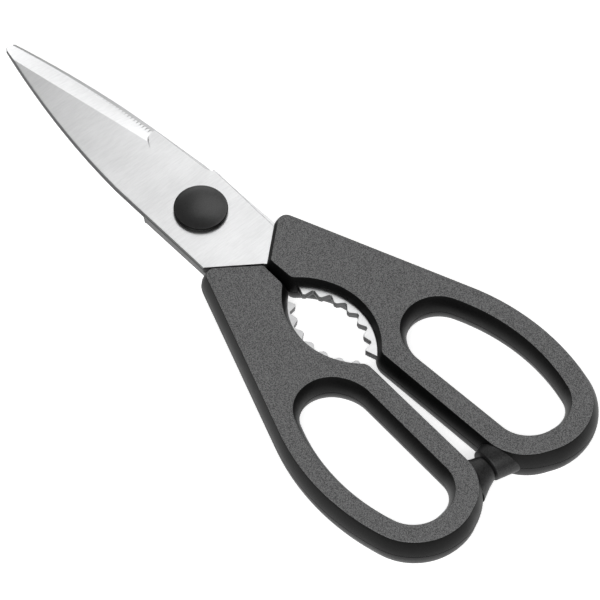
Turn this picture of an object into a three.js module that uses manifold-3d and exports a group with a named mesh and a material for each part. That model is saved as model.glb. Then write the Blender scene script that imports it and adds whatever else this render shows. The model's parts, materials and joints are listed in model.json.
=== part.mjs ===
// Poultry shears with moulded handles, a nutcracker jaw and a capped pivot.
// Millimetres, +Z up, +X towards the blade tips. The shears lie closed on z = 0, and the origin is
// under the middle of their length and width.
//
// Both halves are drawn the same way up, with the handle on +Y and the blade just under the plane where
// the blades slide on each other (z = 0 while drawing, with the pivot axis through the origin). The
// upper half is then turned over about the X axis. Only the blades' backs and the closing stops differ.
import * as THREE from 'three';
import { mergeVertices } from 'three/addons/utils/BufferGeometryUtils.js';
import Module from 'manifold-3d';

const wasm = await Module();
wasm.setup();

// ---- Driving dimensions -------------------------------------------------------------------------

const pivotX = 25.9; // from the middle of the shears' length forward to the pivot axis
const handleThickness = 10.7;
const middle = handleThickness / 2;

// Blades
const bladeThickness = 2.1;
const slideGap = 0.05; // from each blade's flat inner face to the sliding plane
const edgeLand = 0.3; // steel left standing at the cutting edge
const tipX = 81;
const heelX = 29; // back end of the ground bevel
const upperRicasso = { x: 7.6, y: 12.1 }; // where the unsharpened part of the edge steps out
const lowerRicasso = { x: 9.8, y: 12.55 };
const ricassoTaper = 0.5; // how much further out it is where it enters the handle
const shoulderX = -15.4; // back end of the spine, beside the other half's handle
const shoulderY = -13.2;
const shoulderInnerX = -25.9; // where the shoulder comes to the middle line

// Handles: corners of the flat top face as [x, y, corner radius]
const handleCorners = [
  [-27.9, 1.55, 0.8],
  [-17.2, 14.8, 2.4],
  [-94.9, 45.4, 71],
  [-137.9, 34.5, 17.5],
  [-125.1, 4.65, 15],
];
const fingerHoleCorners = [
  [-76.1, 8.4, 14.4],
  [-52.6, 22.2, 11.2],
  [-94.5, 40, 64.6],
  [-126.2, 31.3, 11.3],
  [-123.6, 10.8, 11.5],
];
const outerBulge = 1.6; // how far the walls stand out at mid height
const innerBulge = 1.2; // the same on the side that faces the other handle
const holeBulge = 2.1; // the same inside the finger hole

// Nutcracker: a round recess in each handle, and a row of teeth on each tang
const recessCentre = new THREE.Vector2(-55, -12.8);
const recessRadius = 23.7;
const recessBulge = 1.8;
const toothCount = 7;
const toothTipRadius = 18.6;
const toothDepth = 1.6;
const toothCentre = new THREE.Vector2(-54.45, -11.8);
const toothFirstAngle = 46.2; // degrees, of the tooth nearest the pivot, seen from toothCentre
const toothPitchAngle = 14.6;
const toothTipFlat = 0.9; // the teeth are blunt, and so are the valleys between them
const toothValleyFlat = 0.6;

// Closing stops between the bows: rings of [y, half width, half height] about an axis across the bow
const plainStop = {
  x: -119.2,
  rings: [[0.15, 4.1, 4.1], [3.4, 5.3, 4.6], [7.5, 7.5, 5]],
};
const flaredStop = {
  x: -118.7,
  rings: [[0.45, 5.1, 4.8], [8, 7.2, 5.1]],
};

// Pivot
const shankRadius = 2.5;
const shankHoleRadius = 2.6;
const threadRadius = 2;
const headRadius = 4.6;
const headThickness = 1.5;
const counterboreRadius = 4.8;
const counterboreDepth = 0.8;
const nutThickness = 1.1;
const washerThickness = 0.25;
const capRadius = 7.8;
const capRimHeight = 1.55;
const capDomeHeight = 0.85;
const capWall = 0.45;

const fitGap = 0.3; // between a handle and the tang moulded into it
const seatGap = 0.05; // between faces that rest on each other

// ---- Materials ----------------------------------------------------------------------------------

const bladeSteel = new THREE.MeshStandardMaterial({ color: 0xc9cbcd, roughness: 0.32, metalness: 1 });
const pivotSteel = new THREE.MeshStandardMaterial({ color: 0xa8aaad, roughness: 0.35, metalness: 1 });
const handlePlastic = new THREE.MeshStandardMaterial({ color: 0x1c1c1d, roughness: 0.6, metalness: 0 });
const capPlastic = new THREE.MeshStandardMaterial({ color: 0x151516, roughness: 0.35, metalness: 0 });

// ---- Geometry helpers ---------------------------------------------------------------------------

function toSolid(geometry) {
  const bare = geometry.clone();
  bare.deleteAttribute('normal');
  bare.deleteAttribute('uv');
  const merged = mergeVertices(bare, 1e-4);
  return new wasm.Manifold(new wasm.Mesh({
    numProp: 3,
    vertProperties: new Float32Array(merged.attributes.position.array),
    triVerts: new Uint32Array(merged.index.array),
  }));
}

function toGeometry(solid) {
  const mesh = solid.getMesh();
  const geometry = new THREE.BufferGeometry();
  geometry.setAttribute('position', new THREE.BufferAttribute(mesh.vertProperties, 3));
  geometry.setIndex(new THREE.BufferAttribute(mesh.triVerts, 1));
  geometry.computeVertexNormals();
  return geometry;
}

// Moves each side of a closed polygon outwards by its own distance. Works either way round.
function growOutline(points, distances) {
  const direction = THREE.ShapeUtils.area(points) > 0 ? 1 : -1;
  const sides = points.map((point, i) => {
    const along = points[(i + 1) % points.length].clone().sub(point).normalize();
    const outwards = new THREE.Vector2(along.y, -along.x).multiplyScalar(direction);
    return { along, start: point.clone().addScaledVector(outwards, distances[i]) };
  });
  return sides.map((side, i) => {
    const before = sides[(i + sides.length - 1) % sides.length];
    const turn = before.along.cross(side.along);
    if (Math.abs(turn) < 1e-3) {
      return side.start;
    }
    const reach = side.start.clone().sub(before.start).cross(side.along) / turn;
    return before.start.clone().addScaledVector(before.along, reach);
  });
}

// A polygon with rounded corners. Every outline drawn from the same corners has as many points, so
// that outlines of different growth can be lofted into one body.
function roundedOutline(corners, growths) {
  const sharp = growOutline(corners.map(([x, y]) => new THREE.Vector2(x, y)), growths);
  return sharp.flatMap((corner, i) => {
    const before = (i + sharp.length - 1) % sharp.length;
    const back = sharp[before].clone().sub(corner).normalize();
    const forward = sharp[(i + 1) % sharp.length].clone().sub(corner).normalize();
    const halfAngle = Math.acos(back.dot(forward)) / 2;
    const radius = corners[i][2] + (growths[i] + growths[before]) / 2;
    const inwards = back.clone().add(forward).normalize();
    const centre = corner.clone().addScaledVector(inwards, radius / Math.sin(halfAngle));
    const start = corner.clone().addScaledVector(back, radius / Math.tan(halfAngle)).sub(centre);
    const end = corner.clone().addScaledVector(forward, radius / Math.tan(halfAngle)).sub(centre);
    const sweep = Math.atan2(start.cross(end), start.dot(end));
    const arcSteps = Math.ceil(2 * Math.abs(sweep) * Math.sqrt(corners[i][2]));
    return Array.from({ length: arcSteps + 1 }, (_, step) => (
      start.clone().rotateAround(new THREE.Vector2(), sweep * step / arcSteps).add(centre)
    ));
  });
}

// Skins a row of closed rings, each with the same number of points, and closes both ends.
function loft(rings, flatten = (p) => new THREE.Vector2(p.x, p.y)) {
  const count = rings[0].length;
  const faces = [];
  rings.slice(1).forEach((_, r) => {
    for (let i = 0; i < count; i += 1) {
      const next = (i + 1) % count;
      const [a, b, c, d] = [r * count + i, r * count + next, (r + 1) * count + next, (r + 1) * count + i];
      faces.push(a, b, c, a, c, d);
    }
  });
  const cap = (ring, offset, reversed) => {
    const flat = ring.map(flatten);
    const swap = THREE.ShapeUtils.isClockWise(flat) !== reversed;
    THREE.ShapeUtils.triangulateShape(flat, []).forEach(([a, b, c]) => {
      faces.push(offset + a, offset + (swap ? c : b), offset + (swap ? b : c));
    });
  };
  cap(rings[0], 0, true);
  cap(rings.at(-1), (rings.length - 1) * count, false);
  const geometry = new THREE.BufferGeometry().setFromPoints(rings.flat());
  geometry.setIndex(faces);
  return geometry;
}

// A positive volume whichever way round the rings were drawn.
function loftSolid(rings, flatten) {
  const geometry = loft(rings, flatten);
  const corner = [new THREE.Vector3(), new THREE.Vector3(), new THREE.Vector3()];
  const { position } = geometry.attributes;
  let volume = 0;
  for (let i = 0; i < geometry.index.count; i += 3) {
    corner.forEach((v, k) => v.fromBufferAttribute(position, geometry.index.getX(i + k)));
    volume += corner[0].dot(corner[1].cross(corner[2]));
  }
  if (volume < 0) {
    geometry.index.array.reverse();
  }
  return toSolid(geometry);
}

function slab(outline, low, high) {
  const shape = new THREE.Shape(outline);
  const geometry = new THREE.ExtrudeGeometry(shape, { depth: high - low, bevelEnabled: false });
  geometry.translate(0, 0, low);
  return toSolid(geometry);
}

// A solid of revolution about Z from [radius, z] pairs.
function turned(profile, segments = 48) {
  const geometry = new THREE.LatheGeometry(profile.map(([r, z]) => new THREE.Vector2(r, z)), segments);
  geometry.rotateX(Math.PI / 2);
  return geometry;
}

function addMesh(parent, name, geometry, material) {
  const mesh = new THREE.Mesh(geometry, material);
  mesh.name = name;
  parent.add(mesh);
}

// ---- Blade and tang -----------------------------------------------------------------------------

const at = (x, y) => new THREE.Vector2(x, y);

// The ground edge, from the tip back to the heel.
const edgeCurve = new THREE.QuadraticBezierCurve(at(80.2, 0.2), at(54.2, 6.9), at(heelX + 1, 9.2));

// The blades' backs, from the tip to where they run straight to the shoulder. The lower blade's back
// stands only just clear of the upper blade's edge when the shears are closed.
const upperBack = [
  at(tipX, -0.6),
  at(tipX - 0.1, -1.5),
  at(tipX - 0.6, -2.3),
  ...new THREE.QuadraticBezierCurve(at(79.7, -2.9), at(49.7, -11.1), at(22, -12.6)).getPoints(10),
];
const lowerBack = [
  at(tipX - 0.2, -0.6),
  ...new THREE.QuadraticBezierCurve(at(tipX - 0.7, -1.1), at(55, -7.9), at(32, -10.3)).getPoints(8),
  at(12, -12.4),
];

// The teeth, from the one nearest the pivot to the last: each has a tip and a valley behind it.
function jawTeeth() {
  const flatAt = (radius, width, degrees) => [-1, 1].map((side) => {
    const angle = THREE.MathUtils.degToRad(degrees) + side * width / 2 / radius;
    return at(Math.cos(angle), Math.sin(angle)).multiplyScalar(radius).add(toothCentre);
  });
  return Array.from({ length: toothCount }, (_, i) => {
    const angle = toothFirstAngle + i * toothPitchAngle;
    const tip = flatAt(toothTipRadius, toothTipFlat, angle);
    const valley = flatAt(toothTipRadius + toothDepth, toothValleyFlat, angle + toothPitchAngle / 2);
    return i < toothCount - 1 ? [...tip, ...valley] : tip;
  }).flat();
}

const upperShape = { back: upperBack, ricasso: upperRicasso };
const lowerShape = { back: lowerBack, ricasso: lowerRicasso };

// The tang inside the handle, from behind the ricasso round the back of the jaw to its last tooth.
const tangOuter = [
  at(-32, 15.2),
  at(-46, 17),
  at(-59.5, 15.2),
  at(-66, 10.2),
  at(-74, 8.2),
  at(-84, 7.6),
  at(-85, 5),
  at(-75, 4.2),
  at(-71.3, 2.4),
];
// The tang's inner edge beside the other handle's neck, back out to the blade's shoulder.
const tangInner = [
  at(-38.6, 2.3),
  at(-36, 2.7),
  at(-28.6, 2.7),
  at(shoulderInnerX, 0.3),
];

function bladeOutline({ back, ricasso }) {
  return [
    ...back,
    at(shoulderX, shoulderY),
    ...[...tangInner].reverse(),
    ...jawTeeth(),
    ...[...tangOuter].reverse(),
    at(-18.5, ricasso.y + ricassoTaper),
    at(ricasso.x, ricasso.y),
    at(ricasso.x + 2.4, 10.7),
    ...edgeCurve.getPoints(12).reverse(),
  ];
}

// The wedge that is ground away between the bevel's straight upper line and the cutting edge.
function bevelWedge() {
  const bevelLineY = (x) => 4.8 - 0.188 * (x - heelX);
  const outside = -slideGap - bladeThickness;
  const past = 3;
  const sections = Array.from({ length: 13 }, (_, i) => {
    const edge = edgeCurve.getPoint(1 - i / 12);
    const x = i === 12 ? tipX + past : edge.x;
    const lineY = bevelLineY(x);
    const rise = (bladeThickness - edgeLand) / (edge.y - lineY);
    return [
      new THREE.Vector3(x, lineY, outside),
      new THREE.Vector3(x, edge.y + past, outside + rise * (edge.y + past - lineY)),
      new THREE.Vector3(x, edge.y + past, outside - past),
      new THREE.Vector3(x, lineY, outside - past),
    ];
  });
  return loftSolid(sections, (p) => new THREE.Vector2(p.y, p.z));
}

function bladeGeometry(shape) {
  const outside = -slideGap - bladeThickness;
  const past = outside - 1;
  const drill = (radius, end) => toSolid(turned([[0, past], [radius, past], [radius, end], [0, end]]));
  return toGeometry(slab(bladeOutline(shape), outside, -slideGap)
    .subtract(bevelWedge())
    .subtract(drill(shankHoleRadius, 1))
    .subtract(drill(counterboreRadius, outside + counterboreDepth)));
}

// ---- Handle -------------------------------------------------------------------------------------

// Barrelled walls: full growth at mid height, none at the flat faces.
const barrelLevels = [-1, -0.75, -0.4, 0, 0.4, 0.75, 1];
const barrel = (level) => 1 - level * level;

function barrelledBody(corners, growths, overrun = 0) {
  const ring = (level, z) => {
    const outline = roundedOutline(corners, growths.map((growth) => growth * barrel(level)));
    return outline.map((p) => new THREE.Vector3(p.x, p.y, z));
  };
  const rings = barrelLevels.map((level) => ring(level, level * middle));
  if (overrun > 0) {
    rings.unshift(ring(-1, -middle - overrun));
    rings.push(ring(1, middle + overrun));
  }
  return loftSolid(rings);
}

function nutRecess() {
  const wall = barrelLevels.map((level) => [recessRadius - recessBulge * barrel(level), level * middle]);
  const past = middle + 1;
  const profile = [[0, -past], [recessRadius, -past], ...wall, [recessRadius, past], [0, past]];
  const geometry = turned(profile, 96);
  geometry.translate(recessCentre.x, recessCentre.y, 0);
  return toSolid(geometry);
}

// Room for the tang, open at the handle's front and in the nutcracker recess.
function tangPocket({ ricasso }) {
  const mouth = [at(-66, 0.8), at(-43, 0.8)];
  const footprint = [
    at(0, shoulderY),
    at(shoulderX, shoulderY),
    ...[...tangInner].reverse(),
    ...mouth.reverse(),
    ...[...tangOuter].reverse(),
    at(-18.5, ricasso.y + ricassoTaper),
    at(0, ricasso.y + ricassoTaper),
  ];
  const pocket = growOutline(footprint, footprint.map(() => fitGap));
  return slab(pocket, -slideGap - bladeThickness - fitGap, -slideGap + fitGap);
}

// Round or oval stop standing on the bow's inner wall.
function closingStop({ x, rings }, steps = 32) {
  return loftSolid(rings.map(([y, halfWidth, halfHeight]) => (
    Array.from({ length: steps }, (_, i) => {
      const angle = 2 * Math.PI * i / steps;
      return new THREE.Vector3(x + halfWidth * Math.cos(angle), y, halfHeight * Math.sin(angle));
    })
  )), (p) => new THREE.Vector2(p.x, p.z));
}

function handleGeometry(shape, stop) {
  const outerGrowths = [outerBulge, outerBulge, outerBulge, outerBulge, innerBulge];
  const holeGrowths = fingerHoleCorners.map(() => -holeBulge);
  return toGeometry(barrelledBody(handleCorners, outerGrowths)
    .subtract(nutRecess())
    .add(closingStop(stop))
    .subtract(barrelledBody(fingerHoleCorners, holeGrowths, 1))
    .subtract(tangPocket(shape)));
}

// ---- Pivot --------------------------------------------------------------------------------------

// Heights here are from the sliding plane, upwards.
const upperFace = slideGap + bladeThickness;
const headSeat = upperFace - counterboreDepth + seatGap;
const washerTop = -headSeat;
const nutTop = washerTop - washerThickness - seatGap;
const screwEnd = nutTop - nutThickness;

function screwGeometry() {
  const headTop = headSeat + headThickness;
  const chamfer = 0.3;
  return turned([
    [0, screwEnd],
    [threadRadius, screwEnd],
    [threadRadius, nutTop + seatGap],
    [shankRadius, nutTop + seatGap],
    [shankRadius, headSeat],
    [headRadius, headSeat],
    [headRadius, headTop - chamfer],
    [headRadius - chamfer, headTop],
    [0, headTop],
  ]);
}

function ringGeometry(inner, outer, low, high) {
  return turned([[inner, low], [outer, low], [outer, high], [inner, high], [inner, low]]);
}

function washerGeometry() {
  return ringGeometry(shankHoleRadius, headRadius, washerTop - washerThickness, washerTop);
}

function nutGeometry() {
  return ringGeometry(threadRadius + 0.1, headRadius, screwEnd, nutTop);
}

// A domed cap, hollow from below. Its dome is a slice of a sphere.
function capGeometry() {
  const base = upperFace + seatGap;
  const rimTop = base + capRimHeight;
  const dome = (radius, rise, steps) => {
    const sphere = (radius * radius + rise * rise) / (2 * rise);
    return Array.from({ length: steps + 1 }, (_, i) => {
      const r = radius * (1 - i / steps);
      return [r, rimTop + rise - sphere + Math.sqrt(sphere * sphere - r * r)];
    });
  };
  const shoulder = 0.35;
  const innerRadius = capRadius - capWall * 2;
  const outside = dome(capRadius - shoulder, capDomeHeight, 4);
  const inside = dome(innerRadius, capDomeHeight, 3).map(([r, z]) => [r, z - capWall]).reverse();
  return turned([
    ...inside,
    [innerRadius, base],
    [capRadius, base],
    [capRadius, rimTop - shoulder],
    ...outside,
  ]);
}

// ---- Assembly -----------------------------------------------------------------------------------

const shears = new THREE.Group();
shears.position.set(pivotX, 0, middle);

const lowerHalf = new THREE.Group();
addMesh(lowerHalf, 'lower_blade', bladeGeometry(lowerShape), bladeSteel);
addMesh(lowerHalf, 'lower_blade_handle', handleGeometry(lowerShape, plainStop), handlePlastic);

const upperHalf = new THREE.Group();
upperHalf.rotation.x = Math.PI;
addMesh(upperHalf, 'upper_blade', bladeGeometry(upperShape), bladeSteel);
addMesh(upperHalf, 'upper_blade_handle', handleGeometry(upperShape, flaredStop), handlePlastic);

const pivot = new THREE.Group();
addMesh(pivot, 'pivot_screw', screwGeometry(), pivotSteel);
addMesh(pivot, 'spring_washer', washerGeometry(), pivotSteel);
addMesh(pivot, 'pivot_nut', nutGeometry(), pivotSteel);
addMesh(pivot, 'upper_pivot_cap', capGeometry(), capPlastic);

const underside = new THREE.Group();
underside.rotation.x = Math.PI;
addMesh(underside, 'lower_pivot_cap', capGeometry(), capPlastic);

shears.add(lowerHalf, upperHalf, pivot, underside);

const part = new THREE.Group();
part.add(shears);

export default part;
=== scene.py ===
import json
import math

import bpy
from mathutils import Matrix, Vector
from mathutils.geometry import tessellate_polygon


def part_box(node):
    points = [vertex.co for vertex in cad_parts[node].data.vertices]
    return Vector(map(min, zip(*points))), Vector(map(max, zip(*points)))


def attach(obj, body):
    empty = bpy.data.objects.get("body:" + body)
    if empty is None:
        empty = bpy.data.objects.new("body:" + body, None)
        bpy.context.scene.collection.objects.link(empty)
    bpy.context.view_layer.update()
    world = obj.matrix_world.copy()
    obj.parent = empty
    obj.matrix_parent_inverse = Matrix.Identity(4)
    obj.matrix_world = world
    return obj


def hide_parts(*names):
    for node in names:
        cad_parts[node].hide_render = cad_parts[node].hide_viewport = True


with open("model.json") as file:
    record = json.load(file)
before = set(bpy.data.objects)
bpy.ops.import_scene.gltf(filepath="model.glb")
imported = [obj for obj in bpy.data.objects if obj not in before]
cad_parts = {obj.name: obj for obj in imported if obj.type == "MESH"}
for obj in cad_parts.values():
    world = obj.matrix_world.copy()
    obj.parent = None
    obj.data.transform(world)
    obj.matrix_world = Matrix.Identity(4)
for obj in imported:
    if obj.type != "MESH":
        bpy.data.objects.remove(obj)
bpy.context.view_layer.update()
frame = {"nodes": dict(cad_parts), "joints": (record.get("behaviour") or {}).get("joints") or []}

MM = 0.001
PIVOT = Vector(frame["joints"][0]["pos_m"])
FLAT_CLEARANCE = 0.001  # keeps the handles' flats just inside the CAD box
MIDDLE = PIVOT.z / MM - FLAT_CLEARANCE  # half the handles' thickness

# Each half is drawn in millimetres about the pivot axis, handle on +Y, with its blade just under
# the plane where the blades slide on each other (z = 0). The upper half is then turned over
# about X.

# ---- Sizes of the two halves, as in the CAD model --------------------------------------------

BLADE = 2.1
SLIDE_GAP = 0.05
OUTSIDE = -SLIDE_GAP - BLADE  # height of a blade's outer face
EDGE_LAND = 0.3
HEEL_X = 29
EDGE = [(80.2, 0.2), (54.2, 6.9), (30, 9.2)]  # control points of the ground edge, from the tip
EDGE_RISE_BEHIND_HEEL = 0.075  # in y for each millimetre in x
EDGE_FALL_PAST_TIP = 0.25
BEVEL_LINE_Y = 4.8  # the bevel's inner border at the heel
BEVEL_LINE_FALL = 0.188  # in y for each millimetre towards the tip
TANG_OUTER = [
    (-32, 15.2), (-46, 17), (-59.5, 15.2), (-66, 10.2), (-74, 8.2), (-84, 7.6), (-85, 5),
    (-75, 4.2), (-71.3, 2.4),
]
TANG_INNER = [(-38.6, 2.3), (-36, 2.7), (-28.6, 2.7), (-25.9, 0.3)]
SHOULDER = (-15.4, -13.2)
RICASSO_END_X = -18.5
RICASSO_TAPER = 0.5
RICASSO_BREAK = (0.6, 0.05)  # from the ricasso's front corner
NOTCH_START_X = 0.2  # the notch between ricasso and edge: x from the ricasso's front corner, then y
NOTCH_BEND = (0.9, 11.1)
NOTCH_END = (2.4, 10.7)

TOOTH_CENTRE = Vector((-54.45, -11.8))
TOOTH_COUNT = 7
TOOTH_TIP_RADIUS = 18.6
TOOTH_DEPTH = 1.6
TOOTH_FIRST = math.radians(46.2)
TOOTH_PITCH = math.radians(14.6)
TOOTH_TIP_FLAT = 0.9
TOOTH_VALLEY_FLAT = 0.6

# Corners as (x, y, radius).
HANDLE = [
    (-27.9, 1.55, 0.8), (-17.2, 14.8, 2.4), (-94.9, 45.4, 71), (-137.9, 34.5, 17.5),
    (-125.1, 4.65, 15),
]
INNER_WALL_CORNER = 4  # the corner that the wall facing the other handle starts from
FINGER_HOLE = [
    (-76.1, 8.4, 14.4), (-52.6, 22.2, 11.2), (-94.5, 40, 64.6), (-126.2, 31.3, 11.3),
    (-123.6, 10.8, 11.5),
]
RECESS_CENTRE = Vector((-55, -12.8))
RECESS_RADIUS = 23.7
OUTER_BULGE, INNER_BULGE, RECESS_BULGE, HOLE_BULGE = 1.6, 1.2, 1.8, 2.1
FIT_GAP = 0.3
POCKET_MOUTH = [(-43, 0.8), (-66, 0.8)]  # lies in the open nutcracker, past the teeth

SHANK_HOLE_RADIUS = 2.6
COUNTERBORE_RADIUS = 4.8
COUNTERBORE_DEPTH = 0.8

HALVES = {
    "lower": {
        "turned": False,
        "ricasso": (9.8, 12.55),
        "back": [(80.8, -0.6)],
        "back_curve": [(80.3, -1.1), (55, -7.9), (32, -10.3)],
        "back_end": [(12, -12.4)],
        "stop": {"x": -119.2, "rings": [(0.15, 4.1, 4.1), (3.4, 5.3, 4.6), (7.5, 7.5, 5)]},
    },
    "upper": {
        "turned": True,
        "ricasso": (7.6, 12.1),
        "back": [(81, -0.6), (80.9, -1.5), (80.4, -2.3)],
        "back_curve": [(79.7, -2.9), (49.7, -11.1), (22, -12.6)],
        "back_end": [],
        "stop": {"x": -118.7, "rings": [(0.45, 5.1, 4.8), (8, 7.2, 5.1)]},
    },
}

# ---- Finer sizes that only show here ---------------------------------------------------------

EDGE_BREAK = 0.12  # the blades' broken edges
BREAK_SHARE = 0.3  # where the break's middle ring lies
BLANKING_STEP = 0.11  # the outer half of a blade's cut wall stands back by this much
HOLLOW = 0.02  # how far the bevel is ground hollow
PLUNGE_RADIUS = 0.06
PLUNGE_X = 30.0
PLUNGE_BEND_Y = 8.0  # below this the plunge bends towards the pivot
PLUNGE_BEND = 0.24
WHEEL_MARK_RADIUS = 0.3
WHEEL_MARK_TOP = 5.6
WHEEL_MARK_SPACING = 0.17
WHEEL_MARK_RINGS = 11
WHEEL_MARK_DEPTHS = (0.13, 0.01)  # what fades out along the mark, and what is left at its end
GRIND_START_X = HEEL_X - 3.6
GRIND_FINE = (0.08, 62)  # spacing and number of the sections across the plunge
GRIND_COARSE = (1.2, 45)  # the same along the bevel
GRIND_BREAK = 1.0  # from the last fine section to the first coarse one
GRIND_OVERHANG = 15  # how far the tool reaches past the blade's outer face
SERRATION_PITCH = 1.14
SERRATION_RADIUS = 0.3
SERRATION_DEPTH = 0.22
SERRATION_FADE = 0.12  # loss of depth for each millimetre up the bevel
SERRATION_TIP_LOSS = 0.75  # share of the depth that is lost from the heel to the last one
SERRATION_REACH = (-1.2, 2.2)  # from the edge, outwards and up the bevel
SERRATED_X = (31.23, 61)
SLOPE_SPAN = 0.1  # over which the direction of an edge is measured
WALL_INSET = 0.03
FILLET = 0.24  # along the edges of the handles' flat faces
PARTING_DEPTH = 0.08
PARTING_HALF_WIDTH = 0.16
CORNER_REACH = 1.1  # rounding where the recess meets the inner wall
WALL_SPACING = 2.5  # the longest side of the walls' faces along an outline
BULGE_BLUR = 6  # how many times the bulge is smoothed along the outline
STOP_SOFTNESS = 0.35  # of the stop's rounded end
STOP_END = ((0, 1), (0.13, 0.5), (0.4, 0.2), (1, 0))  # (along, inset), as shares of the softness
CAP_DOME = 1.2
CAP_DOME_POWER = 2.2
CAP_WALL = 0.9
CAP_ROOF = 0.45  # thickness of the dome
CAP_SOFTNESS = 0.3  # radius of the rim
CAP_LIP = 0.09  # how far the rim stands over the wall
CAP_FOOT = (0.15, 0.1)  # height and width of the break along the foot
FLAT_NORMAL = 0.9999  # faces that lie flatter than this are shaded flat
BLADE_SMOOTH_ANGLE = 12


# ---- Mesh helpers ----------------------------------------------------------------------------

def bezier(controls, steps):
    """Points on a quadratic Bezier curve."""
    a, b, c = (Vector(p) for p in controls)
    shares = [i / steps for i in range(steps + 1)]
    return [a * (1 - t) ** 2 + b * 2 * t * (1 - t) + c * t ** 2 for t in shares]


def turn_angle(before, here, after):
    return (here - before).angle_signed(after - here)


def rounded_polygon(corners, spacing=1.0):
    """The outline of a polygon with corners (x, y, radius), as one list of points per corner."""
    arcs = []
    for i, (x, y, radius) in enumerate(corners):
        corner = Vector((x, y))
        back = (Vector(corners[i - 1][:2]) - corner).normalized()
        forward = (Vector(corners[(i + 1) % len(corners)][:2]) - corner).normalized()
        half = back.angle(forward) / 2
        centre = corner + (back + forward).normalized() * radius / math.sin(half)
        start = corner + back * radius / math.tan(half) - centre
        end = corner + forward * radius / math.tan(half) - centre
        sweep = math.atan2(start.cross(end), start.dot(end))
        steps = max(6, math.ceil(abs(sweep) * radius / spacing))
        turns = [Matrix.Rotation(sweep * k / steps, 2) for k in range(steps + 1)]
        arcs.append([centre + turn @ start for turn in turns])
    return arcs


def soften(points, values, reach, steps=5, sharp=math.radians(25)):
    """Replaces each sharp corner of a closed outline by a small curve."""
    new_points, new_values = [], []
    for i, point in enumerate(points):
        before, after = points[i - 1], points[(i + 1) % len(points)]
        if abs(turn_angle(before, point, after)) < sharp:
            new_points.append(point)
            new_values.append(values[i])
            continue
        start = point + (before - point).normalized() * min(reach, (before - point).length * 0.9)
        end = point + (after - point).normalized() * min(reach, (after - point).length * 0.9)
        new_points += bezier([start, point, end], steps)
        new_values += [values[i]] * (steps + 1)
    return new_points, new_values


def subdivide(points, values, longest):
    """Adds points to the long sides of a closed outline."""
    new_points, new_values = [], []
    for i, point in enumerate(points):
        after = (i + 1) % len(points)
        count = max(1, math.ceil((points[after] - point).length / longest))
        for k in range(count):
            new_points.append(point.lerp(points[after], k / count))
            new_values.append(values[i] + (values[after] - values[i]) * k / count)
    return new_points, new_values


def blurred(values, passes):
    for _ in range(passes):
        after = values[1:] + values[:1]
        values = [(values[i - 1] + 2 * values[i] + after[i]) / 4 for i in range(len(values))]
    return values


def signed_area(points):
    return sum(points[i - 1].cross(point) for i, point in enumerate(points)) / 2


def outwards(points):
    """The mitred outward normal at each point of a closed outline."""
    side = 1 if signed_area(points) > 0 else -1
    normals = []
    for i, point in enumerate(points):
        first = (point - points[i - 1]).normalized()
        second = (points[(i + 1) % len(points)] - point).normalized()
        bisector = (first + second).normalized()
        stretch = 1 / max(0.5, bisector.dot(first))
        normals.append(Vector((bisector.y, -bisector.x)) * side * stretch)
    return normals


def skin(rings, closed_ends=True):
    """Faces between rings of equal length, and flat caps on the first and last one."""
    count = len(rings[0])
    points = [p for ring in rings for p in ring]
    faces = []
    for r in range(len(rings) - 1):
        for i in range(count):
            j = (i + 1) % count
            faces.append((r * count + i, r * count + j, (r + 1) * count + j, (r + 1) * count + i))
    if closed_ends:
        faces.append(tuple(reversed(range(count))))
        faces.append(tuple(range((len(rings) - 1) * count, len(rings) * count)))
    return points, faces


def piece_from(name, points, faces):
    """A mesh object from points in millimetres about the pivot, with its faces turned outwards."""
    mesh = bpy.data.meshes.new(name)
    mesh.from_pydata([tuple(p) for p in points], [], faces)
    piece = bpy.data.objects.new(name, mesh)
    bpy.context.scene.collection.objects.link(piece)
    volume = 0.0
    mesh.calc_loop_triangles()
    for triangle in mesh.loop_triangles:
        a, b, c = (mesh.vertices[v].co for v in triangle.vertices)
        volume += a.dot(b.cross(c))
    if volume < 0:
        mesh.flip_normals()
    return piece


def combine(piece, tool, operation):
    """Cuts the tool from the piece or joins it to the piece, and removes the tool."""
    modifier = piece.modifiers.new(operation, "BOOLEAN")
    modifier.operation = operation
    modifier.solver = "MANIFOLD"
    modifier.object = tool
    bpy.context.view_layer.update()
    evaluated = piece.evaluated_get(bpy.context.evaluated_depsgraph_get())
    shaped = bpy.data.meshes.new_from_object(evaluated)
    piece.modifiers.clear()
    piece.data = shaped
    bpy.data.objects.remove(tool)


def settle(piece, turned, smooth_angle=30):
    """Moves a finished piece from its drawing to its place in the row frame, and shades it."""
    turn = Matrix.Rotation(math.pi, 4, "X") if turned else Matrix.Identity(4)
    piece.data.transform(Matrix.Translation(PIVOT) @ Matrix.Scale(MM, 4) @ turn)
    piece.data.shade_smooth()
    piece.data.set_sharp_from_angle(angle=math.radians(smooth_angle))
    for face in piece.data.polygons:
        face.use_smooth = abs(face.normal.z) < FLAT_NORMAL


def angles(count):
    """Equal steps once round a circle."""
    return [2 * math.pi * i / count for i in range(count)]


def cylinder(radius, low, high, segments=64):
    circle = [(radius * math.cos(a), radius * math.sin(a)) for a in angles(segments)]
    return piece_from("drill", *skin([[Vector((x, y, z)) for x, y in circle] for z in (low, high)]))


def lifted(points, z):
    """Flat points as points in space at that height."""
    return [p.to_3d() + Vector((0, 0, z)) for p in points]


# ---- Blades ----------------------------------------------------------------------------------

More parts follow.
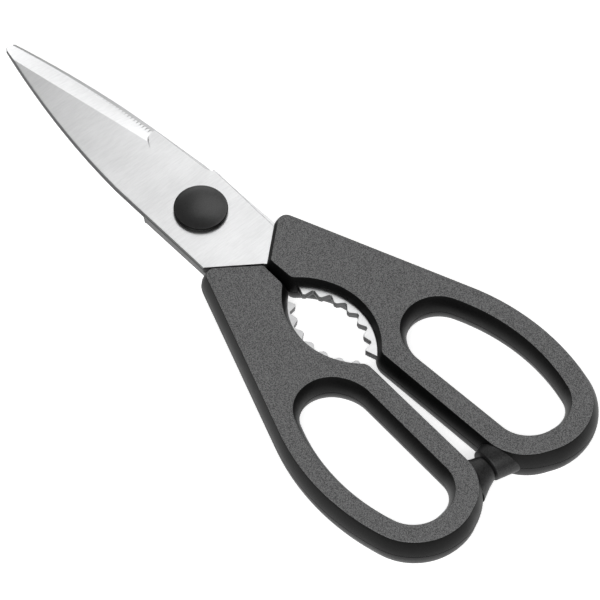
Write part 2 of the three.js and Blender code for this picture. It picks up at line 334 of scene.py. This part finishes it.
def jaw_teeth():
    """The blunt teeth of the nutcracker, from the pivot backwards."""
    def flat_at(radius, width, angle):
        ends = (angle - width / 2 / radius, angle + width / 2 / radius)
        return [TOOTH_CENTRE + Vector((math.cos(a), math.sin(a))) * radius for a in ends]

    teeth = []
    for i in range(TOOTH_COUNT):
        angle = TOOTH_FIRST + i * TOOTH_PITCH
        teeth += flat_at(TOOTH_TIP_RADIUS, TOOTH_TIP_FLAT, angle)
        if i < TOOTH_COUNT - 1:
            valley = TOOTH_TIP_RADIUS + TOOTH_DEPTH
            teeth += flat_at(valley, TOOTH_VALLEY_FLAT, angle + TOOTH_PITCH / 2)
    return teeth


def blade_outline(half):
    ricasso_x, ricasso_y = half["ricasso"]
    outline = half["back"] + bezier(half["back_curve"], 36) + half["back_end"] + [SHOULDER]
    outline += TANG_INNER[::-1] + jaw_teeth() + TANG_OUTER[::-1]
    outline += [
        (RICASSO_END_X, ricasso_y + RICASSO_TAPER),
        (ricasso_x + RICASSO_BREAK[0], ricasso_y + RICASSO_BREAK[1]),
    ]
    notch = [(NOTCH_START_X, ricasso_y), NOTCH_BEND, NOTCH_END]
    outline += bezier([(ricasso_x + x, y) for x, y in notch], 5)
    outline += bezier(EDGE, 60)[::-1]
    return [Vector(p) for p in outline]


def edge_at(x):
    """Y of the cutting edge, carried on in a straight line behind the heel and past the tip."""
    tip, middle, heel = EDGE
    if x <= heel[0]:
        return heel[1] + (heel[0] - x) * EDGE_RISE_BEHIND_HEEL
    if x >= tip[0]:
        return tip[1] - (x - tip[0]) * EDGE_FALL_PAST_TIP
    tip_x = Vector(tip).x  # in single precision, as in the outline
    low, high = 0.0, 1.0
    for _ in range(30):
        t = (low + high) / 2
        if tip_x * (1 - t) ** 2 + middle[0] * 2 * t * (1 - t) + heel[0] * t * t > x:
            low = t
        else:
            high = t
    return tip[1] * (1 - t) ** 2 + middle[1] * 2 * t * (1 - t) + heel[1] * t * t


def bevel_line_at(x):
    return BEVEL_LINE_Y - BEVEL_LINE_FALL * (x - HEEL_X)


def plunge_x_at(y):
    """X where the grinding wheel stopped: straight by the edge, then bending to the pivot."""
    return PLUNGE_X - PLUNGE_BEND * max(0.0, PLUNGE_BEND_Y - y) ** 2


def wheel_mark_tool():
    """The faint groove that the wheel's rim left in the flat, past the end of the bevel."""
    radius = WHEEL_MARK_RADIUS
    fading, left = WHEEL_MARK_DEPTHS
    up = Vector((0, 0, 1))
    rings = []
    for i in range(WHEEL_MARK_RINGS):
        y = WHEEL_MARK_TOP - WHEEL_MARK_SPACING * i
        run = plunge_x_at(y - SLOPE_SPAN / 2) - plunge_x_at(y + SLOPE_SPAN / 2)
        ahead = Vector((run, -SLOPE_SPAN, 0)).normalized()
        across = Vector((-ahead.y, ahead.x, 0))
        depth = fading * (1 - i / (WHEEL_MARK_RINGS - 1)) + left
        centre = Vector((plunge_x_at(y), y, OUTSIDE + depth - radius))
        rings.append([
            centre + (across * math.cos(a) + up * math.sin(a)) * radius for a in angles(12)
        ])
    return piece_from("wheel_mark", *skin(rings))


def grind_tool():
    """What the wheel takes away: a hollow bevel that ends at the heel in a curved plunge."""
    fine, coarse = GRIND_FINE, GRIND_COARSE
    along = [GRIND_START_X + fine[0] * i for i in range(fine[1])]
    along += [along[-1] + GRIND_BREAK + coarse[0] * i for i in range(coarse[1])]
    shares = [-0.15, 0.0] + [(i + 1) / 14 for i in range(14)] + [1.25, 1.6]
    least_width = 3.0
    rings = []
    for x in along:
        line, edge = bevel_line_at(x), edge_at(x)
        width = max(edge - line, least_width)
        rise = (BLADE - EDGE_LAND) / width
        ring = []
        for share in shares:
            y = line + share * width
            depth = rise * (y - line)
            if 0 < share < 1:
                depth += 4 * HOLLOW * share * (1 - share)
            behind_plunge = max(0.0, plunge_x_at(y) - x)
            lift = behind_plunge ** 2 / (2 * PLUNGE_RADIUS)
            ring.append(Vector((x, y, OUTSIDE + depth - lift)))
        for share in (shares[-1], shares[0]):
            ring.append(Vector((x, line + share * width, OUTSIDE - GRIND_OVERHANG)))
        rings.append(ring)
    return piece_from("grind", *skin(rings))


def serration_tool():
    """Small round files laid across the bevel, deepest at the edge and near the heel."""
    points, faces = [], []
    first, last = SERRATED_X
    x = first
    while x < last:
        y = edge_at(x)
        tangent = Vector((SLOPE_SPAN, edge_at(x + SLOPE_SPAN) - y, 0)).normalized()
        inward = Vector((tangent.y, -tangent.x, 0))
        width = y - bevel_line_at(x)
        slope = (BLADE - EDGE_LAND) / width + SERRATION_FADE + 4 * HOLLOW / width
        strength = SERRATION_DEPTH * (1 - SERRATION_TIP_LOSS * (x - first) / (last - first))
        foot = -SLIDE_GAP - EDGE_LAND + strength - SERRATION_RADIUS
        up_bevel = inward + Vector((0, 0, -slope))
        across = up_bevel.normalized().cross(tangent)
        rings = []
        for reach in SERRATION_REACH:
            centre = Vector((x, y, foot)) + up_bevel * reach
            rings.append([
                centre + (tangent * math.cos(a) + across * math.sin(a)) * SERRATION_RADIUS
                for a in angles(14)
            ])
        file_points, file_faces = skin(rings)
        faces += [tuple(len(points) + v for v in face) for face in file_faces]
        points += file_points
        x += SERRATION_PITCH
    return piece_from("files", points, faces)


def make_blade(name, half):
    outline = blade_outline(half)
    normals = outwards(outline)
    step_at = OUTSIDE + BLADE * 0.5
    levels = [  # (height, inset) of each ring
        (OUTSIDE, BLANKING_STEP + EDGE_BREAK),
        (OUTSIDE + EDGE_BREAK * BREAK_SHARE, BLANKING_STEP + EDGE_BREAK * BREAK_SHARE),
        (OUTSIDE + EDGE_BREAK, BLANKING_STEP),
        (step_at, BLANKING_STEP),
        (step_at + BLANKING_STEP, 0),
        (-SLIDE_GAP - EDGE_BREAK / 2, 0),
        (-SLIDE_GAP, EDGE_BREAK / 2),
    ]
    rings = [lifted([p - n * inset for p, n in zip(outline, normals)], z) for z, inset in levels]
    blade = piece_from(name, *skin(rings))
    for tool in (
        grind_tool(), wheel_mark_tool(), serration_tool(),
        cylinder(SHANK_HOLE_RADIUS, OUTSIDE - 1, 1),
        cylinder(COUNTERBORE_RADIUS, OUTSIDE - 1, OUTSIDE + COUNTERBORE_DEPTH),
    ):
        combine(blade, tool, "DIFFERENCE")
    return blade


# ---- Handles ---------------------------------------------------------------------------------

def handle_outline():
    """The handle's outline with the nutcracker recess, and the walls' bulge at each point."""
    points, bulges = [], []
    for i, arc in enumerate(rounded_polygon(HANDLE)):
        points += arc
        bulges += [INNER_BULGE if i == INNER_WALL_CORNER else OUTER_BULGE] * len(arc)
    start, end = points[-1], points[0]
    along = (end - start).normalized()
    foot = start + along * along.dot(RECESS_CENTRE - start)
    half_chord = math.sqrt(RECESS_RADIUS ** 2 - (foot - RECESS_CENTRE).length_squared)
    rear = foot - along * half_chord - RECESS_CENTRE
    front = foot + along * half_chord - RECESS_CENTRE
    sweep = math.atan2(rear.cross(front), rear.dot(front))
    steps = 34
    for k in range(steps + 1):
        points.append(RECESS_CENTRE + Matrix.Rotation(sweep * k / steps, 2) @ rear)
        bulges.append(RECESS_BULGE)
    points, bulges = soften(points, bulges, CORNER_REACH)
    points, bulges = subdivide(points, bulges, WALL_SPACING)
    return points, blurred(bulges, BULGE_BLUR)


def hole_outline():
    points = [p for arc in rounded_polygon(FINGER_HOLE) for p in arc]
    return subdivide(points, [HOLE_BULGE] * len(points), WALL_SPACING)


def wall_levels():
    """(height, share of the bulge, inset) of each ring of a wall, from the underside up."""
    drops = [FILLET * s for s in (0, 0.06, 0.2, 0.42, 0.7, 1)]
    top = [MIDDLE - drop for drop in drops]
    body = [MIDDLE * s for s in (0.88, 0.78, 0.66, 0.54, 0.42, 0.3, 0.18, 0.09)]
    half = top + body + [PARTING_HALF_WIDTH, PARTING_HALF_WIDTH / 2, 0]
    heights = [-z for z in half] + half[-2::-1]
    levels = []
    for z in heights:
        below = MIDDLE - abs(z)
        inset = WALL_INSET
        if below < FILLET:
            inset += FILLET - math.sqrt(FILLET ** 2 - (FILLET - below) ** 2)
        if abs(z) < PARTING_HALF_WIDTH:
            inset += PARTING_DEPTH * (1 - abs(z) / PARTING_HALF_WIDTH) ** 0.7
        levels.append((z, 1 - (z / MIDDLE) ** 2, inset))
    return levels


def wall_rings(points, bulges, into_material):
    """Rings of a barrelled wall. The wall bulges away from the material."""
    normals = outwards(points)
    side = -1 if into_material else 1
    rings = []
    for z, share, inset in wall_levels():
        ring = [p + n * side * (b * share - inset) for p, n, b in zip(points, normals, bulges)]
        rings.append(lifted(ring, z))
    return rings


def tang_pocket(half):
    """Room for the tang, open at the handle's front and in the nutcracker recess."""
    ricasso_y = half["ricasso"][1] + RICASSO_TAPER
    footprint = [Vector(p) for p in (
        (0, SHOULDER[1]), SHOULDER, *TANG_INNER[::-1], *POCKET_MOUTH, *TANG_OUTER[::-1],
        (RICASSO_END_X, ricasso_y), (0, ricasso_y),
    )]
    grown = [p + n * FIT_GAP for p, n in zip(footprint, outwards(footprint))]
    heights = (OUTSIDE - FIT_GAP, -SLIDE_GAP + FIT_GAP)
    return piece_from("pocket", *skin([lifted(grown, z) for z in heights]))


def closing_stop(stop):
    """The round or flared stop on the bow's inner wall, with a softened end."""
    (first_y, width, height), *rest = stop["rings"]
    soft = STOP_SOFTNESS
    rings = [(first_y + soft * along, width - soft * inset, height - soft * inset)
             for along, inset in STOP_END]
    piece = piece_from("stop", *skin([
        [Vector((stop["x"] + w * math.cos(a), y, h * math.sin(a))) for a in angles(56)]
        for y, w, h in rings + rest
    ]))
    # The stop is given the darker copy of the handle plastic, as painted shade.
    give_materials(piece, HANDLE_PLASTICS)
    for face in piece.data.polygons:
        face.material_index = SHADED_STOP_INDEX
    return piece


def make_handle(name, half):
    """A solid between the two walls and two flats, joined with its stop and cut for its tang."""
    outer = wall_rings(*handle_outline(), False)
    hole = wall_rings(*hole_outline(), True)
    points, faces = skin(outer, closed_ends=False)
    hole_points, hole_faces = skin(hole, closed_ends=False)
    shift = len(points)
    points += hole_points
    faces += [tuple(shift + v for v in reversed(face)) for face in hole_faces]
    for level, flip in ((0, False), (len(outer) - 1, True)):
        flat = tessellate_polygon([outer[level], hole[level]])
        places = [level * len(outer[0]) + i for i in range(len(outer[0]))]
        places += [shift + level * len(hole[0]) + i for i in range(len(hole[0]))]
        for triangle in flat:
            a, b, c = (places[v] for v in triangle)
            up = (points[b] - points[a]).cross(points[c] - points[a]).z > 0
            faces.append((a, b, c) if up == flip else (a, c, b))
    handle = piece_from(name, points, faces)
    give_materials(handle, HANDLE_PLASTICS)
    combine(handle, closing_stop(half["stop"]), "UNION")
    combine(handle, tang_pocket(half), "DIFFERENCE")
    return handle


# ---- Pivot caps ------------------------------------------------------------------------------

def make_cap(name, node):
    """A domed cap, hollow from below, turned from its profile."""
    low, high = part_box(node)
    radius = (high.x - low.x) / 2 / MM
    height = (high.z - low.z) / MM
    soft, lip = CAP_SOFTNESS, CAP_LIP
    foot_height, foot_width = CAP_FOOT

    def dome_at(r):
        return height - CAP_DOME + CAP_DOME * (1 - (r / radius) ** CAP_DOME_POWER)

    dome_end = radius - soft
    dome_steps, corner_steps, roof_steps = 12, 6, 8
    profile = []
    for i in range(dome_steps + 1):
        r = dome_end * i / dome_steps
        profile.append((r, dome_at(r)))
    corner_low = dome_at(dome_end) - soft
    for i in range(1, corner_steps + 1):
        a = math.pi / 2 * i / corner_steps
        profile.append((dome_end + soft * math.sin(a), corner_low + soft * math.cos(a)))
    profile += [
        (radius, corner_low - lip), (radius - lip * 0.4, corner_low - lip * 1.7),
        (radius - lip, corner_low - lip * 2), (radius - lip, foot_height),
        (radius - lip - foot_width, 0.0), (radius - CAP_WALL, 0.0),
    ]
    for i in range(roof_steps + 1):
        r = (radius - CAP_WALL) * (1 - i / roof_steps)
        profile.append((r, dome_at(r) - CAP_ROOF))
    segments = 96
    points = [Vector((0, 0, profile[0][1]))]
    faces = []
    ring_of = {}
    for k, (r, z) in enumerate(profile[1:-1], start=1):
        ring_of[k] = len(points)
        points += [Vector((r * math.cos(a), r * math.sin(a), z)) for a in angles(segments)]
    bottom = len(points)
    points.append(Vector((0, 0, profile[-1][1])))
    for i in range(segments):
        j = (i + 1) % segments
        faces.append((0, ring_of[1] + i, ring_of[1] + j))
        for k in range(1, len(profile) - 2):
            a, b = ring_of[k], ring_of[k + 1]
            faces.append((a + i, b + i, b + j, a + j))
        last = ring_of[len(profile) - 2]
        faces.append((bottom, last + j, last + i))
    base = (low.z - PIVOT.z) / MM if low.z > PIVOT.z else (PIVOT.z - high.z) / MM
    return piece_from(name, [p + Vector((0, 0, base)) for p in points], faces)


# ---- Materials -------------------------------------------------------------------------------

class Shader:
    """A Principled material whose other nodes are added by name."""

    def __init__(self, name, **sockets):
        self.material = bpy.data.materials.new(name)
        self.material.use_nodes = True
        self.nodes = self.material.node_tree.nodes
        self.links = self.material.node_tree.links
        self.principled = self.nodes["Principled BSDF"]
        for socket, value in sockets.items():
            self.principled.inputs[socket.replace("_", " ")].default_value = value
        self.where = self.nodes.new("ShaderNodeTexCoord").outputs["Object"]

    def noise(self, scale, stretch=(1, 1, 1), detail=3, rough=0.55):
        mapping = self.nodes.new("ShaderNodeMapping")
        mapping.inputs["Scale"].default_value = stretch
        texture = self.nodes.new("ShaderNodeTexNoise")
        texture.inputs["Scale"].default_value = scale
        texture.inputs["Detail"].default_value = detail
        texture.inputs["Roughness"].default_value = rough
        self.links.new(self.where, mapping.inputs["Vector"])
        self.links.new(mapping.outputs["Vector"], texture.inputs["Vector"])
        return texture.outputs["Fac"]

    def ramp(self, source, low, high, start=0.3, end=0.7):
        """Maps a texture onto a colour, or onto a number where low and high are numbers."""
        if isinstance(low, (int, float)):
            node = self.nodes.new("ShaderNodeMapRange")
            values = {"From Min": start, "From Max": end, "To Min": low, "To Max": high}
            for socket, value in values.items():
                node.inputs[socket].default_value = value
            self.links.new(source, node.inputs["Value"])
            return node.outputs["Result"]
        node = self.nodes.new("ShaderNodeValToRGB")
        first, last = node.color_ramp.elements
        first.position, last.position = start, end
        first.color, last.color = (*low, 1), (*high, 1)
        self.links.new(source, node.inputs["Fac"])
        return node.outputs["Color"]

    def bump(self, source, depth):
        node = self.nodes.new("ShaderNodeBump")
        node.inputs["Distance"].default_value = depth
        node.inputs["Strength"].default_value = 1.0
        self.links.new(source, node.inputs["Height"])
        self.links.new(node.outputs["Normal"], self.principled.inputs["Normal"])

    def feed(self, socket, source):
        self.links.new(source, self.principled.inputs[socket])


def grey(value):
    """A grey with a very faint blue."""
    return (value, value * 1.003, value * 1.008)


def brushed_steel(name, tone, roughness, stretch, depth):
    """Ground steel: fine scratches in one direction, with faint cloudy patches.

    The stretch is how much finer the scratches are along x, y and z, and the depth is in metres.
    """
    scratch_scale, cloud_scale = 1000, 90
    darker, lighter, roughness_range = 0.95, 1.04, 0.03
    steel = Shader(name, Metallic=1.0, Roughness=roughness)
    scratches = steel.noise(scratch_scale, stretch, detail=4, rough=0.7)
    clouds = steel.noise(cloud_scale, detail=2)
    tones = steel.ramp(scratches, grey(tone * darker), grey(tone * lighter), 0.35, 0.65)
    steel.feed("Base Color", tones)
    least, most = roughness - roughness_range, roughness + roughness_range
    steel.feed("Roughness", steel.ramp(clouds, least, most))
    steel.bump(scratches, depth)
    return steel.material


def moulded_grain(name, tone, roughness, level, depth):
    """Black plastic with a spark-eroded grain. The depth is in metres."""
    grain_scale, patch_scale = 3300, 60
    darker, lighter, roughness_range = 0.4, 1.6, 0.05
    plastic = Shader(name, Roughness=roughness, IOR=1.5)
    plastic.principled.inputs["Specular IOR Level"].default_value = level
    grain = plastic.noise(grain_scale, detail=2, rough=0.6)
    patches = plastic.noise(patch_scale, detail=2)
    tones = plastic.ramp(grain, grey(tone * darker), grey(tone * lighter), 0.38, 0.62)
    plastic.feed("Base Color", tones)
    least, most = roughness - roughness_range, roughness + roughness_range
    plastic.feed("Roughness", plastic.ramp(patches, least, most))
    plastic.bump(grain, depth)
    return plastic.material


FLAT_STEEL = brushed_steel("blade_flat", 0.8, 0.32, (2.2, 0.25, 1), 0.000002)
BEVEL_STEEL = brushed_steel("blade_bevel", 0.88, 0.34, (2.2, 0.2, 0.3), 0.000002)
# The cut edges' steel is rougher and carries painted shade: its tone is far darker than the
# steel's.
SHADED_CUT_STEEL = brushed_steel("blade_cut_edge_painted_shade", 0.105, 0.4, (0.5, 0.5, 3), 0.00001)
SLIDING_STEEL = brushed_steel("blade_sliding_face", 0.6, 0.32, (1.7, 0.12, 1), 0.000006)
TURNED_STEEL = brushed_steel("pivot_steel", 0.62, 0.3, (1, 1, 1), 0.000004)
GRAINED_PLASTIC = moulded_grain("handle_grain", 0.122, 0.6, 0.45, 0.00012)
# The handles' walls carry painted shade: a far darker, less shiny copy of the handle plastic.
SHADED_WALL_PLASTIC = moulded_grain("handle_wall_painted_shade", 0.002, 0.42, 0.17, 0.00004)
# The stops carry painted shade: a darker copy of the handle plastic.
SHADED_STOP_PLASTIC = moulded_grain("handle_stop_painted_shade", 0.016, 0.42, 0.33, 0.00002)
CAP_PLASTIC = moulded_grain("cap_satin", 0.008, 0.3, 0.75, 0.00002)
# The cap's wall carries painted shade: a far darker, barely shiny copy of the cap plastic.
SHADED_CAP_WALL_PLASTIC = moulded_grain("cap_wall_painted_shade", 0.002, 0.3, 0.06, 0.00001)

BLADE_STEELS = (FLAT_STEEL, BEVEL_STEEL, SHADED_CUT_STEEL, SLIDING_STEEL)
FLAT_INDEX, BEVEL_INDEX, SHADED_CUT_INDEX, SLIDING_INDEX = range(4)
HANDLE_PLASTICS = (GRAINED_PLASTIC, SHADED_WALL_PLASTIC, SHADED_STOP_PLASTIC)
GRAINED_INDEX, SHADED_WALL_INDEX, SHADED_STOP_INDEX = range(3)
CAP_PLASTICS = (CAP_PLASTIC, SHADED_CAP_WALL_PLASTIC)
CAP_TOP_INDEX, SHADED_CAP_WALL_INDEX = range(2)

# How far a face lies flat: the size of its normal's z, from 0 for a wall to 1.
SHADED_CUT_BELOW = 0.75
BEVEL_BELOW = 0.9995
GRAINED_ABOVE = 0.66
SHADED_CAP_WALL_BELOW = 0.85


def give_materials(piece, materials):
    """Sets a piece's material slots. The blades' cuts leave an empty one, so all are cleared."""
    piece.data.materials.clear()
    for material in materials:
        piece.data.materials.append(material)


def finish_blade(blade):
    """Flats, ground bevel and cut edges each have their own finish; the cut edges are rougher and
    also carry painted shade, far darker than the steel.
    """
    give_materials(blade, BLADE_STEELS)
    for face in blade.data.polygons:
        flatness = abs(face.normal.z)
        if flatness < SHADED_CUT_BELOW:
            face.material_index = SHADED_CUT_INDEX
        elif flatness < BEVEL_BELOW:
            face.material_index = BEVEL_INDEX
        elif abs(face.center.z - PIVOT.z) < BLADE * MM / 2:
            face.material_index = SLIDING_INDEX
        else:
            face.material_index = FLAT_INDEX


def finish_handle(handle):
    """What lies flat has a pale grain, and the walls are smoother, with painted shade that makes
    them far darker than the flats.
    """
    for face in handle.data.polygons:
        if face.material_index != SHADED_STOP_INDEX:
            grained = abs(face.normal.z) > GRAINED_ABOVE
            face.material_index = GRAINED_INDEX if grained else SHADED_WALL_INDEX


def finish_cap(cap):
    """The dome is satin, and its wall has painted shade: a far darker, barely shiny copy of the
    plastic.
    """
    give_materials(cap, CAP_PLASTICS)
    for face in cap.data.polygons:
        wall = abs(face.normal.z) < SHADED_CAP_WALL_BELOW
        face.material_index = SHADED_CAP_WALL_INDEX if wall else CAP_TOP_INDEX


# ---- The pieces ------------------------------------------------------------------------------

for side, half in HALVES.items():
    body = f"{side}_half"
    blade = make_blade(f"{side}_blade_fine", half)
    settle(blade, half["turned"], smooth_angle=BLADE_SMOOTH_ANGLE)
    finish_blade(blade)
    handle = make_handle(f"{side}_blade_handle_fine", half)
    settle(handle, half["turned"])
    finish_handle(handle)
    for piece, node, slot in (
        (blade, f"{side}_blade", "blade_steel"),
        (handle, f"{side}_blade_handle", "handle_plastic"),
    ):
        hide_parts(node)
        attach(piece, body)

for node, turned in (("upper_pivot_cap", False), ("lower_pivot_cap", True)):
    cap = make_cap(f"{node}_fine", node)
    settle(cap, turned)
    finish_cap(cap)
    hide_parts(node)
    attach(cap, "upper_half")

for node in ("pivot_screw", "spring_washer", "pivot_nut"):
    for slot in frame["nodes"][node].material_slots:
        slot.material = TURNED_STEEL

# ---- Floor, light and camera -----------------------------------------------------------------

CAMERA_AZIMUTH = math.radians(227.4)
CAMERA_ELEVATION = math.radians(55)
VIEW_WIDTH = 0.1704  # what the frame takes in at the shears, in metres
LENS = 900
SENSOR = 36
AIM = Vector((-0.0152, -0.0006, PIVOT.z))
FLOOR_REACH = 4.0
FLOOR_GLOW = 0.65
WORLD_STRENGTH = 0.18

floor_mesh = bpy.data.meshes.new("floor")
corners = [(-1, -1), (1, -1), (1, 1), (-1, 1)]
floor_points = [(x * FLOOR_REACH, y * FLOOR_REACH, 0) for x, y in corners]
floor_mesh.from_pydata(floor_points, [], [(0, 1, 2, 3)])
floor = bpy.data.objects.new("floor", floor_mesh)
bpy.context.scene.collection.objects.link(floor)
paper = Shader("floor_paper", Roughness=0.9)
paper.principled.inputs["Specular IOR Level"].default_value = 0.1
paper.principled.inputs["Emission Color"].default_value = (1, 1, 1, 1)
paper.principled.inputs["Emission Strength"].default_value = FLOOR_GLOW
paper.feed("Base Color", paper.ramp(paper.noise(3), (0.9, 0.9, 0.9), (0.92, 0.92, 0.92)))
floor_mesh.materials.append(paper.material)


def direction(azimuth, elevation):
    """From the shears towards something seen at that azimuth and elevation, in radians."""
    level = math.cos(elevation)
    return Vector((math.sin(azimuth) * level, -math.cos(azimuth) * level, math.sin(elevation)))


def softbox(name, azimuth, elevation, distance, size, brightness):
    """A soft area light aimed at the shears, from an azimuth and elevation in degrees.

    Distance and size are in metres.
    """
    data = bpy.data.lights.new(name, "AREA")
    data.shape = "RECTANGLE"
    data.size, data.size_y = size
    data.energy = brightness * math.pi * size[0] * size[1]
    light = bpy.data.objects.new(name, data)
    towards = direction(math.radians(azimuth), math.radians(elevation))
    light.location = AIM + towards * distance
    light.rotation_euler = towards.to_track_quat("Z", "Y").to_euler()
    light.visible_camera = False
    bpy.context.scene.collection.objects.link(light)


softbox("front_softbox", 222, 50, 1.2, (1.5, 0.5), 5.0)
softbox("back_softbox", 34, 52, 0.42, (0.28, 0.26), 1.18)
softbox("low_softbox", 47, 12, 0.8, (1.0, 0.38), 1.22)
softbox("side_softbox", 317, 14, 0.8, (0.5, 0.24), 0.5)

world = bpy.data.worlds.new("studio")
world.use_nodes = True
world.node_tree.nodes["Background"].inputs["Color"].default_value = (1, 1, 1, 1)
world.node_tree.nodes["Background"].inputs["Strength"].default_value = WORLD_STRENGTH
bpy.context.scene.world = world

camera_data = bpy.data.cameras.new("camera")
camera_data.lens = LENS
camera_data.sensor_width = SENSOR
camera = bpy.data.objects.new("camera", camera_data)
backwards = direction(CAMERA_AZIMUTH, CAMERA_ELEVATION)
camera.location = AIM + backwards * VIEW_WIDTH * LENS / SENSOR
camera.rotation_euler = backwards.to_track_quat("Z", "Y").to_euler()
bpy.context.scene.collection.objects.link(camera)
bpy.context.scene.camera = camera
bpy.context.scene.view_settings.view_transform = "Standard"
